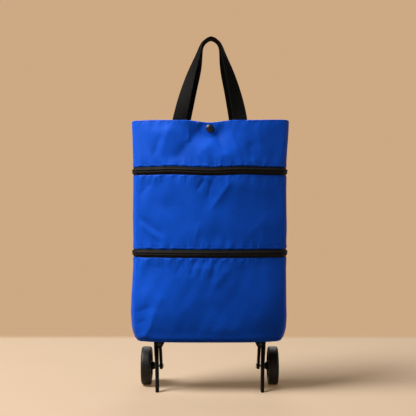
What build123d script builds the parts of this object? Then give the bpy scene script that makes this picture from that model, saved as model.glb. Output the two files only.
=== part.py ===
"""Folding shopping bag on two wheels: three zipped fabric sections, webbing handles, fold-away wheel arms."""

import math
import os

from build123d import *

# Bag, millimetres
BAG_WIDTH = 276.0          # across the zips
BAG_DEPTH = 109.0          # front to back across the zips
BOTTOM_Z = 90.0            # underside of the bag above the floor
LOWER_HEIGHT = 150.0
MIDDLE_HEIGHT = 131.0
UPPER_HEIGHT = 82.0
FABRIC = 1.6               # wall of a panel with its lining
FACE_RADIUS = 400.0        # plan curve of the front and back
SEAM_INSET = 8.0           # seam corner inside the widest point of the gusset
SEAM_RADIUS = 10.0
LOBE_X = 60.0              # half distance between the open lobes of the mouth
MOUTH_GAP = 84.0           # front to back of the open mouth at the press stud
TUCK_WIDTH = 9.5           # edge of the bottom inside the zips, at the sides
TUCK_DEPTH = 12.5          # the same at the front and back
BOWL_HEIGHT = 40.0         # rounded lower edge
BULGE_WIDTH = 0.8          # fullest part of a section outside the zips
BULGE_DEPTH = 1.0
BOTTOM_CUT = 3.5           # bottom panel turns up this far
RIM_FLARE = 2.5            # side of the rim outside the zips
RIM_NARROWING = 7.5        # front of the rim inside the zips
SHOULDER_NARROWING = 5.5   # the same at the foot of the straight collar

# Zips
ZIP_HEIGHT = 14.0          # tape to tape across the closed zip
TEETH_HEIGHT = 8.0
TEETH_PROUD = 2.4
ZIP_SLOT = 1.2             # slit between the two halves, where the slider post runs
PLEAT_DEPTH = 8.0
PLEAT_FLANGE = 3.5         # edge of the pleat sewn to the tape
SLIDER_LENGTH = 12.0
SLIDER_PLATE = 1.5
SLIDER_PARK_X = 18.0       # parked slider, from the middle of the back
SLIDE_FIT = 0.3            # slider to teeth and tape
BAIL_RADIUS = 0.8
PULL_LENGTH = 24.0
PULL_WIDTH = 6.0

# Handles
WEBBING_WIDTH = 25.0
WEBBING = 2.0
HANDLE_RISE = 148.0        # bend line to the crown of the front handle
REAR_EXTRA = 4.0           # rear handle above the front one
FRONT_SPREAD = 53.0        # half distance between the strap ends
REAR_SPREAD = 49.0
HANDLE_GAP = 0.6           # between the two crowns
TAB_LENGTH = 36.0          # sewn end below the rim
HINGE_RISE = 2.5           # bend line of the strap above the rim
STRAP_END = 1.6            # loose strap starts this far below its bend line
FRONT_LINE = (             # front strap from bend line to crown, as shares of its spread and rise
    (-1.0, 0.0),
    (-0.78, 0.39),
    (-0.663, 0.573),
    (-0.512, 0.727),
    (-0.375, 0.85),
    (-0.3, 0.925),
    (0.0, 1.0),
)
REAR_LINE = (              # the same for the rear strap
    (-1.0, 0.0),
    (-0.835, 0.266),
    (-0.676, 0.449),
    (-0.536, 0.599),
    (-0.435, 0.744),
    (-0.37, 0.861),
    (-0.29, 0.935),
    (0.0, 1.0),
)
STRAP_LEAN = (0.18, 1.0)   # direction in which a strap leaves its bend line
STRAP_TWIST = 0.9          # how soon the strap turns edge-on

# Press stud
STUD_DROP = 13.9           # centre below the rim
STUD_RADIUS = 6.8
STUD_DOME = 3.4
STUD_SHANK = 1.8
STUD_BALL = 2.4
STUD_PLATE = 1.6           # inner half against the lining
STUD_REACH = 3.4           # depth of the socket, and of the post into it

# Base and hinge brackets
BOARD = 3.0
BOARD_INSET = 18.0
PLATE = 2.5
PLATE_SIZE = 40.0
BACK_SLOPE = 0.25          # slope of the bag's back in plan, beside the bracket
BRACKET_INSET = 23.875     # centre of the bracket inside that slope
PIVOT_INSET = 47.5         # hinge line inside the side of the bag
PIVOT_DROP = 7.0           # hinge line below the bag's underside
LUG = 6.0
LUG_RADIUS = 7.0
LUG_TOP = 20.0
PIN_RADIUS = 2.0
PIN_HEAD = 1.8
WASHER = 1.2
RIVET_RADIUS = 2.0
RIVET_HEAD_RADIUS = 3.5
RIVET_HEAD = 1.0
RIVET_EDGE = 5.0           # rivet centre inside the plate's edge

# Wheel arms
CHEEK_OUTER = 6.4
CHEEK_INNER = 5.0
CHEEK_OUT = 4.0            # outer cheek starts outside the hinge line
CHEEK_IN = 3.1             # inner cheek starts inside it
AXLE_BEHIND = 32.0         # axle behind the centre of the bracket
FOOT_AHEAD = 35.0          # foot in front of it
FOOT_OUT = 2.7             # foot outside the hinge line
FOOT_LENGTH = 9.0
LEG_AHEAD = 4.5            # top of the leg in front of it
LEG_OUT = 5.5              # top of the leg outside the hinge line
LEG_DROP = 0.5             # and below it
LEG_THICKNESS = 6.5
LEG_TOP_LENGTH = 12.0
LEG_ROUND = 2.4
FOOT_ROUND = 2.0
WEB = 3.0                  # web between cheek and leg
AXLE_HEAD = 1.8

# Wheels
WHEEL_RADIUS = 35.0
WHEEL_CLEAR = 6.4          # tyre outside the outer cheek
TYRE_WIDTH = 18.5
TYRE_DEPTH = 7.5
TYRE_SHOULDER = 4.2
CAP_DOME = 2.5
CAP_RADIUS = 22.0
CAP_SEAT = 1.5             # seat of the cap inside the face of the tyre
RIM_WEB = 4.0
BUSH_SHORT = 5.0           # bush ends this far inside the cap's seat
HUB_RADIUS = 8.5
HUB_NECK_RADIUS = 6.0
BUSH_WALL = 1.6
AXLE_RADIUS = 3.0

# Fits
CLOSE_FIT = 0.05           # fixed pin in its bore, and parts that are pressed together
RUN_FIT = 0.06             # turning shaft in its bore
SIDE_FIT = 0.1             # end play of a turning part
SEWN_FIT = 0.15            # sewn layer against the wall
BEND_FIT = 0.3             # loose strap above its sewn end
STOP_FIT = 0.2             # arm shoulder under its stop
HOLE_FIT = 0.1             # rivet in its hole

# Heights that follow
LOWER_TOP = BOTTOM_Z + LOWER_HEIGHT
MIDDLE_BASE = LOWER_TOP + ZIP_HEIGHT
MIDDLE_TOP = MIDDLE_BASE + MIDDLE_HEIGHT
UPPER_BASE = MIDDLE_TOP + ZIP_HEIGHT
RIM_Z = UPPER_BASE + UPPER_HEIGHT
STUD_Z = RIM_Z - STUD_DROP
HALF_WIDTH = BAG_WIDTH / 2
HALF_DEPTH = BAG_DEPTH / 2
PIVOT_X = HALF_WIDTH - PIVOT_INSET
BRACKET_Y = HALF_DEPTH - BACK_SLOPE * PIVOT_X - BRACKET_INSET
AXLE_Y = BRACKET_Y + AXLE_BEHIND
FOOT_Y = BRACKET_Y - FOOT_AHEAD
LEG_TOP_Y = BRACKET_Y - LEG_AHEAD
PIVOT_Z = BOTTOM_Z - PIVOT_DROP
PLATE_UNDER = BOTTOM_Z - PLATE
CHEEK_OUTER_X = PIVOT_X + CHEEK_OUT
CHEEK_INNER_X = PIVOT_X - CHEEK_IN
CHEEK_FACE_X = CHEEK_OUTER_X + CHEEK_OUTER
WHEEL_INNER_X = CHEEK_FACE_X + WHEEL_CLEAR
AXLE_Z = WHEEL_RADIUS
TAPE_REACH = (ZIP_HEIGHT - ZIP_SLOT) / 2
# The bag stands this far behind the middle of the whole object
BAG_Y = (HALF_DEPTH + TEETH_PROUD - AXLE_Y - WHEEL_RADIUS) / 2

# Section profiles: height above the base, growth of half width and half depth, dip of the mouth
RIM_DIP = HALF_DEPTH - RIM_NARROWING - MOUTH_GAP / 2
SHOULDER_DIP = HALF_DEPTH - SHOULDER_NARROWING - MOUTH_GAP / 2
BOWL_LEVELS = (
    (0.0, -TUCK_WIDTH, -TUCK_DEPTH, 0.0),
    (0.12 * BOWL_HEIGHT, -0.66 * TUCK_WIDTH, -0.8 * TUCK_DEPTH, 0.0),
    (0.4 * BOWL_HEIGHT, -0.2 * TUCK_WIDTH, -0.6 * TUCK_DEPTH, 0.0),
    (BOWL_HEIGHT, BULGE_WIDTH, -0.29 * TUCK_DEPTH, 0.0),
)
WALL_LEVELS = (
    BOWL_LEVELS[-1],
    (0.47 * LOWER_HEIGHT, 0.6 * BULGE_WIDTH, -0.07 * TUCK_DEPTH, 0.0),
    (LOWER_HEIGHT, 0.0, 0.0, 0.0),
)
MIDDLE_LEVELS = (
    (0.0, 0.0, 0.0, 0.0),
    (0.5 * MIDDLE_HEIGHT, BULGE_WIDTH, BULGE_DEPTH, 0.0),
    (MIDDLE_HEIGHT, 0.0, 0.0, 0.0),
)
SHOULDER_LEVELS = (
    (0.0, 0.0, 0.0, 0.0),
    (0.38 * UPPER_HEIGHT, 0.32 * RIM_FLARE, -RIM_NARROWING / 3, 0.45 * RIM_DIP),
    (0.75 * UPPER_HEIGHT, 0.76 * RIM_FLARE, -SHOULDER_NARROWING, SHOULDER_DIP),
)
COLLAR_LEVELS = (
    SHOULDER_LEVELS[-1],
    (UPPER_HEIGHT, RIM_FLARE, -RIM_NARROWING, RIM_DIP),
)


def block(x0, x1, y0, y1, z0, z1):
    """Box between two corners."""
    centre = Pos((x0 + x1) / 2, (y0 + y1) / 2, (z0 + z1) / 2)
    return centre * Box(x1 - x0, y1 - y0, z1 - z0)


def rod_x(radius, x0, x1, y=0.0, z=0.0):
    """Cylinder along X."""
    return Pos((x0 + x1) / 2, y, z) * Rot(0, 90, 0) * Cylinder(radius, x1 - x0)


def rod_y(radius, y0, y1, x=0.0, z=0.0):
    """Cylinder along Y."""
    return Pos(x, (y0 + y1) / 2, z) * Rot(90, 0, 0) * Cylinder(radius, y1 - y0)


def rod_z(radius, z0, z1, x=0.0, y=0.0):
    """Cylinder along Z."""
    return Pos(x, y, (z0 + z1) / 2) * Cylinder(radius, z1 - z0)


def face_y(x, half_depth, inset):
    """Distance of the front or back curve from the middle plane."""
    return math.sqrt((FACE_RADIUS - inset) ** 2 - x ** 2) - (FACE_RADIUS - half_depth)


def outline(half_width=HALF_WIDTH, half_depth=HALF_DEPTH, inset=0.0):
    """Plan of the bag: shallow arcs front and back, deeper arcs at the sides, rounded seam corners."""
    x = half_width - inset - SEAM_INSET
    y = face_y(x, half_depth, inset)
    side = half_width - inset
    middle = half_depth - inset
    arcs = [
        ThreePointArc((-x, -y), (0, -middle), (x, -y)),
        ThreePointArc((x, -y), (side, 0), (x, y)),
        ThreePointArc((x, y), (0, middle), (-x, y)),
        ThreePointArc((-x, y), (-side, 0), (-x, -y)),
    ]
    plan = make_face(arcs)
    return fillet(plan.vertices(), max(SEAM_RADIUS - inset, SEAM_RADIUS / 4))


def pulled_in(arc, half_depth, dip, inset):
    """Front or back curve with its middle pulled in by the press stud."""
    ends = sorted((arc @ 0, arc @ 1), key=lambda point: point.X)
    facing = math.copysign(1.0, (arc @ 0.5).Y)
    lobe = facing * face_y(LOBE_X, half_depth, inset)
    centre_y = -facing * (FACE_RADIUS - half_depth)
    tangents = []
    for point in ends:
        radius = Vector(point.X, point.Y - centre_y, 0) * facing
        tangents.append((radius.Y, -radius.X, 0))
    middle = facing * (half_depth - inset - dip)
    flat = STUD_RADIUS + 1
    knots = [(-LOBE_X, lobe), (-flat, middle), (flat, middle), (LOBE_X, lobe)]
    return Spline(ends[0], *knots, ends[1], tangents=tangents)


def plan_at(level, inset):
    """Plan of one level of a section."""
    height, wider, deeper, dip = level
    half_depth = HALF_DEPTH + deeper
    plan = outline(HALF_WIDTH + wider, half_depth, inset)
    if dip:
        edges = plan.edges().sort_by(Axis.Y)
        front = pulled_in(edges[0], half_depth, dip, inset)
        back = pulled_in(edges[-1], half_depth, dip, inset)
        plan = make_face(list(edges[1:-1]) + [front, back])
    return plan


def filled(levels, base, inset, first_lift=0.0):
    """Section as a full solid, drawn in by the inset."""
    plans = []
    for index, level in enumerate(levels):
        lift = first_lift if index == 0 else 0.0
        plans.append(Pos(0, 0, base + level[0] + lift) * plan_at(level, inset))
    return loft(plans)


def hollow(levels, base, floor=0.0):
    """Section as a shell of one fabric thickness, with a floor if it has one."""
    return filled(levels, base, 0.0) - filled(levels, base, FABRIC, floor)


def between_seams(levels, base):
    """Space between the two side seams, as a cutter."""
    right = [(HALF_WIDTH + level[1] - SEAM_INSET, base + level[0]) for level in levels]
    left = [(-x, z) for x, z in reversed(right)]
    outline_xz = Plane.XZ * make_face(Polyline(*right, *left, close=True))
    return extrude(outline_xz, BAG_DEPTH, both=True)


def panels(shell, levels, base, name):
    """Shell of a section cut at its seams into front, back and gussets."""
    core = shell & between_seams(levels, base)
    front_half = block(-BAG_WIDTH, BAG_WIDTH, -BAG_DEPTH, 0, 0, 2 * RIM_Z)
    gussets = (shell - between_seams(levels, base)).solids().sort_by(Axis.X)
    return {
        name + "_front_panel": core & front_half,
        name + "_back_panel": core - front_half,
        name + "_left_gusset": gussets[0],
        name + "_right_gusset": gussets[-1],
    }


def ring(z0, z1, outer_inset, inner_inset):
    """Band round the bag at a zip."""
    band = outline(inset=outer_inset) - outline(inset=inner_inset)
    return extrude(Pos(0, 0, z0) * band, z1 - z0)


def rivet_points():
    """Rivet centres of the right bracket."""
    reach = PLATE_SIZE / 2 - RIVET_EDGE
    return [(PIVOT_X + i * reach, BRACKET_Y + j * reach) for i in (-1, 1) for j in (-1, 1)]


def rivet_holes(z0, z1):
    """Drills for all rivets of both brackets."""
    drills = [
        rod_z(RIVET_RADIUS + HOLE_FIT, z0, z1, side * x, y)
        for side in (-1, 1)
        for x, y in rivet_points()
    ]
    return Compound(drills)


def make_sections():
    """Fabric panels of the three sections."""
    shell = hollow(BOWL_LEVELS, BOTTOM_Z, FABRIC) + hollow(WALL_LEVELS, BOTTOM_Z)
    below = block(-BAG_WIDTH, BAG_WIDTH, -BAG_DEPTH, BAG_DEPTH, 0, BOTTOM_Z + BOTTOM_CUT)
    nodes = {"bottom_panel": (shell & below) - rivet_holes(0, LOWER_TOP)}
    nodes |= panels(shell - below, BOWL_LEVELS + WALL_LEVELS[1:], BOTTOM_Z, "lower")

    nodes |= panels(hollow(MIDDLE_LEVELS, MIDDLE_BASE), MIDDLE_LEVELS, MIDDLE_BASE, "middle")

    shell = hollow(SHOULDER_LEVELS, UPPER_BASE) + hollow(COLLAR_LEVELS, UPPER_BASE)
    shell -= rod_y(STUD_SHANK + HOLE_FIT, -BAG_DEPTH, BAG_DEPTH, 0, STUD_Z)
    for piece in make_press_stud().values():
        shell -= piece
    nodes |= panels(shell, SHOULDER_LEVELS + COLLAR_LEVELS[1:], UPPER_BASE, "upper")

    tab_top = UPPER_HEIGHT + HINGE_RISE - STRAP_END - BEND_FIT
    raised = (COLLAR_LEVELS[0], (tab_top,) + COLLAR_LEVELS[1][1:])
    layers = []
    for inset in (FABRIC + SEWN_FIT, FABRIC + SEWN_FIT + WEBBING):
        layers.append(filled(SHOULDER_LEVELS, UPPER_BASE, inset) + filled(raised, UPPER_BASE, inset))
    lining = layers[0] - layers[1]
    for name, facing, spread in (("front", -1, FRONT_SPREAD), ("rear", 1, REAR_SPREAD)):
        tabs = []
        for side in (-1, 1):
            x0 = side * spread - WEBBING_WIDTH / 2
            y0 = min(0, facing * BAG_DEPTH)
            z0 = RIM_Z - TAB_LENGTH
            tabs.append(lining & block(x0, x0 + WEBBING_WIDTH, y0, y0 + BAG_DEPTH, z0, 2 * RIM_Z))
        nodes[name + "_handle_tabs"] = Compound([tab.solid() for tab in tabs])
    return nodes


def make_zip(name, base):
    """Tapes, teeth, pleat, slider and pull of the zip that starts at a height."""
    middle = base + ZIP_HEIGHT / 2
    slot = ZIP_SLOT / 2
    lower_tape = ring(base, middle - slot, 0.0, FABRIC)
    upper_tape = ring(middle + slot, base + ZIP_HEIGHT, 0.0, FABRIC)
    lower_teeth = ring(middle - TEETH_HEIGHT / 2, middle - slot, -TEETH_PROUD, 0.0)
    upper_teeth = ring(middle + slot, middle + TEETH_HEIGHT / 2, -TEETH_PROUD, 0.0)
    bead = 0.8 * TEETH_PROUD
    lower_edges = lower_teeth.faces().sort_by(Axis.Z)[0].outer_wire().edges()
    upper_edges = upper_teeth.faces().sort_by(Axis.Z)[-1].outer_wire().edges()
    inner = FABRIC + SEWN_FIT
    pleat = ring(base, base + ZIP_HEIGHT, inner, inner + PLEAT_DEPTH)
    pleat -= ring(base + PLEAT_FLANGE, base + ZIP_HEIGHT - PLEAT_FLANGE, inner, inner + PLEAT_DEPTH / 3)

    # Slider, with Y pointing out of the back and its origin on the tape
    outer = TEETH_PROUD + SLIDE_FIT
    rear = -FABRIC - SLIDE_FIT
    half = SLIDER_LENGTH / 2
    low = -TEETH_HEIGHT / 2 - SLIDE_FIT
    high = TEETH_HEIGHT / 2
    lip = low - SLIDER_PLATE
    post = ZIP_SLOT / 2 - SIDE_FIT
    slider = block(-half, half, outer, outer + SLIDER_PLATE, lip, high)
    rear_reach = ZIP_HEIGHT / 2 - PLEAT_FLANGE - SLIDE_FIT
    slider += block(-half, half, rear - SLIDER_PLATE / 2, rear, -rear_reach, rear_reach)
    slider += block(-half / 3, half / 3, rear, outer, -post, post)
    slider += block(-half, half, SLIDE_FIT, outer, lip, low)
    slider = fillet(slider.faces().sort_by(Axis.Y)[-1].edges(), SLIDER_PLATE / 3)
    bail_y = outer + SLIDER_PLATE + 2 * BAIL_RADIUS + SLIDE_FIT
    bail_x = PULL_WIDTH / 2 + SLIDE_FIT
    for side in (-1, 1):
        inside, outside = sorted((side * bail_x, side * (bail_x + 2 * BAIL_RADIUS)))
        reach = bail_y + BAIL_RADIUS
        slider += block(inside, outside, outer + SLIDER_PLATE / 2, reach, -BAIL_RADIUS, BAIL_RADIUS)
    slider += rod_x(BAIL_RADIUS, -bail_x - BAIL_RADIUS, bail_x + BAIL_RADIUS, bail_y)

    eye = 2 * BAIL_RADIUS + SLIDE_FIT / 2
    pull = rod_x(eye, -PULL_WIDTH / 2, PULL_WIDTH / 2, bail_y)
    tab = Plane.XZ * (Pos(0, -PULL_LENGTH / 2) * RectangleRounded(PULL_WIDTH, PULL_LENGTH, PULL_WIDTH / 2.2))
    tab -= Plane.XZ * (Pos(0, PULL_WIDTH / 2 - PULL_LENGTH) * Circle(PULL_WIDTH / 5))
    pull += Pos(0, bail_y, 0) * extrude(tab, BAIL_RADIUS, both=True)
    pull -= rod_x(BAIL_RADIUS + CLOSE_FIT, -PULL_WIDTH, PULL_WIDTH, bail_y)

    turn = -math.degrees(math.asin(SLIDER_PARK_X / FACE_RADIUS))
    centre = Pos(0, HALF_DEPTH - FACE_RADIUS, middle)
    parked = centre * Rot(0, 0, turn) * Pos(0, FACE_RADIUS, 0)
    return {
        name + "_zip_lower_tape": lower_tape,
        name + "_zip_upper_tape": upper_tape,
        name + "_zip_lower_teeth": fillet(lower_edges, bead),
        name + "_zip_upper_teeth": fillet(upper_edges, bead),
        name + "_pleat": pleat,
        name + "_zip_slider": parked * slider,
        name + "_zip_pull": parked * pull,
    }


def make_handle(spread, rise, strap_line):
    """Front handle: webbing that stands flat on the rim and turns edge-on towards its crown."""
    base_y = -(face_y(spread, HALF_DEPTH - RIM_NARROWING, 0.0) - FABRIC - SEWN_FIT - WEBBING / 2)
    slope = (-base_y - WEBBING_WIDTH / 2 - HANDLE_GAP / 2) / rise
    knots = [(across * spread, up * rise) for across, up in strap_line]
    line = Spline(*knots, tangents=[STRAP_LEAN, (1, 0)])
    places = [(Vector(-spread, -STRAP_END), Vector(0, 1), 0.0)]
    for share in (0.0, 0.15, 0.3, 0.45, 0.6, 0.73, 0.84, 0.92, 1.0):
        places.append((line @ share, line % share, share))
    for point, along, share in reversed(places[:-1]):
        places.append((Vector(-point.X, point.Y), Vector(along.X, -along.Y), share))
    faces = []
    for point, along, share in places:
        here = Vector(point.X, base_y + slope * point.Y, point.Y)
        tangent = Vector(along.X, slope * along.Y, along.Y).normalized()
        outward = Vector(-along.Y, 0, along.X)
        twist = math.radians(90) * share ** STRAP_TWIST
        facing = Vector(0, -1, 0) * math.cos(twist) + outward * math.sin(twist)
        across = facing.cross(tangent).normalized()
        faces.append(Plane(origin=here, x_dir=across, z_dir=tangent) * Rectangle(WEBBING_WIDTH, WEBBING))
    return Pos(0, 0, RIM_Z + HINGE_RISE) * loft(faces)


def make_handles():
    """Front handle and the rear one that faces it."""
    rear = make_handle(REAR_SPREAD, HANDLE_RISE + REAR_EXTRA, REAR_LINE)
    return {
        "front_handle": make_handle(FRONT_SPREAD, HANDLE_RISE, FRONT_LINE),
        "rear_handle": mirror(rear, Plane.XZ),
    }


def make_press_stud():
    """Press stud in the middle of the mouth, undone: socket in the front wall, post in the back wall."""
    wall = MOUTH_GAP / 2
    inside = wall - FABRIC
    edge = (STUD_RADIUS, wall + STUD_DOME / 3)
    peak = (0, wall + STUD_DOME)
    dome = ThreePointArc(peak, (STUD_RADIUS * 0.6, wall + 0.82 * STUD_DOME), edge)
    cap = revolve(make_face(Polyline(edge, (STUD_RADIUS, wall), (0, wall), peak) + dome), Axis.Y)
    cap += rod_y(STUD_SHANK, inside - STUD_PLATE / 2, wall)
    cap = Pos(0, 0, STUD_Z) * cap
    shank_hole = rod_y(STUD_SHANK + HOLE_FIT, inside - STUD_PLATE / 2 - HOLE_FIT, wall, 0, STUD_Z)
    socket = rod_y(0.85 * STUD_RADIUS, inside - STUD_REACH, inside, 0, STUD_Z)
    socket -= rod_y(STUD_BALL + HOLE_FIT, inside - STUD_REACH, inside - STUD_PLATE, 0, STUD_Z)
    socket = fillet(socket.faces().sort_by(Axis.Y)[0].edges(), STUD_PLATE / 4) - shank_hole
    post = rod_y(STUD_BALL, inside - STUD_REACH - STUD_PLATE / 2, inside - STUD_PLATE / 2, 0, STUD_Z)
    post = fillet(post.edges().group_by(Axis.Y)[0], STUD_PLATE / 2)
    post += rod_y(0.85 * STUD_RADIUS, inside - STUD_PLATE, inside, 0, STUD_Z)
    post -= shank_hole
    return {
        "stud_front_cap": mirror(cap, Plane.XZ),
        "stud_socket": mirror(socket, Plane.XZ),
        "stud_post": post,
        "stud_rear_cap": cap,
    }


def make_base():
    """Board inside the bottom of the bag."""
    floor = BOTTOM_Z + FABRIC + SEWN_FIT
    board = extrude(Pos(0, 0, floor) * outline(HALF_WIDTH - BOARD_INSET, HALF_DEPTH - BOARD_INSET + 2), BOARD)
    return {"base_board": board - rivet_holes(0, LOWER_TOP)}


def lug_at(y0):
    """Ear of the bracket that carries the hinge pin."""
    half = LUG_TOP / 2
    rise = PLATE_UNDER - PIVOT_Z
    ear = make_hull((Circle(LUG_RADIUS) + Pos(0, rise) * Rectangle(LUG_TOP, 0.4)).edges())
    ear = extrude(Plane.XZ * ear, -LUG)
    return Pos(PIVOT_X, y0, PIVOT_Z) * ear


def make_bracket():
    """Hinge bracket, pin, clip, washers and rivets of the right side."""
    half = PLATE_SIZE / 2
    front = BRACKET_Y - half
    rear = BRACKET_Y + half
    plate = Pos(PIVOT_X, BRACKET_Y, PLATE_UNDER + PLATE / 2) * Box(PLATE_SIZE, PLATE_SIZE, PLATE)
    plate = fillet(plate.edges().filter_by(Axis.Z), RIVET_EDGE)
    bracket = plate + lug_at(front) + lug_at(rear - LUG)
    bracket -= rod_y(PIN_RADIUS + CLOSE_FIT, front - LUG, rear + LUG, PIVOT_X, PIVOT_Z)
    bracket -= rivet_holes(0, LOWER_TOP)

    pin = rod_y(PIN_RADIUS, front - PIN_HEAD, rear + 2 * PIN_HEAD, PIVOT_X, PIVOT_Z)
    head = rod_y(1.8 * PIN_RADIUS, front - PIN_HEAD, front - CLOSE_FIT, PIVOT_X, PIVOT_Z)
    pin += fillet(head.edges().group_by(Axis.Y)[0], 0.5 * PIN_HEAD)
    clip = rod_y(2 * PIN_RADIUS, rear + CLOSE_FIT, rear + WASHER, PIVOT_X, PIVOT_Z)
    clip -= rod_y(PIN_RADIUS + CLOSE_FIT, front, rear + PLATE_SIZE, PIVOT_X, PIVOT_Z)

    washers = []
    for y0 in (front + LUG + CLOSE_FIT, rear - LUG - WASHER):
        washer = rod_y(2 * PIN_RADIUS, y0, y0 + WASHER - CLOSE_FIT, PIVOT_X, PIVOT_Z)
        washers.append((washer - rod_y(PIN_RADIUS + CLOSE_FIT, front, rear, PIVOT_X, PIVOT_Z)).solid())

    top = BOTTOM_Z + FABRIC + SEWN_FIT + BOARD
    rivets = []
    for x, y in rivet_points():
        rivet = rod_z(RIVET_RADIUS, PLATE_UNDER, top, x, y)
        lower_head = rod_z(RIVET_HEAD_RADIUS, PLATE_UNDER - RIVET_HEAD, PLATE_UNDER, x, y)
        rivet += fillet(lower_head.edges().group_by(Axis.Z)[0], 0.6 * RIVET_HEAD)
        rivet += rod_z(RIVET_HEAD_RADIUS, top, top + RIVET_HEAD, x, y)
        rivets.append(rivet.solid())
    return {
        "hinge_bracket": bracket,
        "hinge_pin": pin,
        "hinge_clip": clip,
        "hinge_washers": Compound(washers),
        "bracket_rivets": Compound(rivets),
    }


def cheek(x0, thickness, top_radius, top_drop, low_radius):
    """Cheek plate from the hinge to the axle."""
    upper = Pos(BRACKET_Y, PIVOT_Z - top_drop) * Circle(top_radius)
    lower = Pos(AXLE_Y, AXLE_Z) * Circle(low_radius)
    plate = extrude(Plane.YZ * make_hull((upper + lower).edges()), thickness)
    plate = Pos(x0, 0, 0) * plate
    return fillet(plate.edges().group_by(Axis.X)[0] + plate.edges().group_by(Axis.X)[-1], thickness / 5)


def make_arm():
    """Wheel arm of the right side: crown on the hinge, two cheeks to the axle, leg with a foot."""
    half = PLATE_SIZE / 2 - LUG - WASHER - SIDE_FIT
    front = BRACKET_Y - half
    rear = BRACKET_Y + half
    gap = PLATE_UNDER - PIVOT_Z
    barrel = gap - STOP_FIT
    outside = CHEEK_FACE_X
    arm = rod_y(barrel, front, rear, PIVOT_X, PIVOT_Z)
    crown = block(PIVOT_X, outside, front, rear, PIVOT_Z - 0.5 * barrel, PIVOT_Z + barrel)
    arm += fillet(crown.edges().filter_by(Axis.Y).sort_by(Axis.X)[-2:], 0.6 * barrel)
    arm += cheek(CHEEK_OUTER_X, CHEEK_OUTER, 2 * barrel, 1.5 * barrel, 2.5 * AXLE_RADIUS)
    arm += cheek(CHEEK_INNER_X, CHEEK_INNER, 1.5 * barrel, barrel, 2.2 * AXLE_RADIUS)

    top = RectangleRounded(LEG_THICKNESS, LEG_TOP_LENGTH, LEG_ROUND)
    top = Pos(PIVOT_X + LEG_OUT, LEG_TOP_Y, PIVOT_Z - LEG_DROP) * top
    sole = Pos(PIVOT_X + FOOT_OUT, FOOT_Y, 0) * RectangleRounded(LEG_THICKNESS, FOOT_LENGTH, LEG_ROUND)
    leg = loft([sole, top], ruled=True)
    arm += fillet(leg.faces().sort_by(Axis.Z)[0].edges(), FOOT_ROUND)

    height = PIVOT_Z - AXLE_Z
    web_points = [
        (BRACKET_Y, PIVOT_Z - barrel),
        (BRACKET_Y + 0.5 * (AXLE_Y - BRACKET_Y), PIVOT_Z - 0.5 * height),
        (LEG_TOP_Y + 0.42 * (FOOT_Y - LEG_TOP_Y), 0.58 * PIVOT_Z),
    ]
    hollow = ThreePointArc(web_points[1], (BRACKET_Y - WEB, PIVOT_Z - 0.35 * height), web_points[2])
    web = extrude(Plane.YZ * make_face(Polyline(web_points[2], web_points[0], web_points[1]) + hollow), WEB)
    arm += Pos(CHEEK_OUTER_X + WEB / 6, 0, 0) * web
    arm -= rod_y(PIN_RADIUS + RUN_FIT, front - LUG, rear + LUG, PIVOT_X, PIVOT_Z)
    arm -= rod_x(AXLE_RADIUS + CLOSE_FIT, 0, 2 * outside, AXLE_Y, AXLE_Z)
    return arm


def turned(points):
    """Ring with a profile of axial place and radius, about the right axle."""
    profile = make_face(Polyline(*points, close=True))
    return Pos(0, AXLE_Y, AXLE_Z) * revolve(profile, Axis.X)


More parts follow.
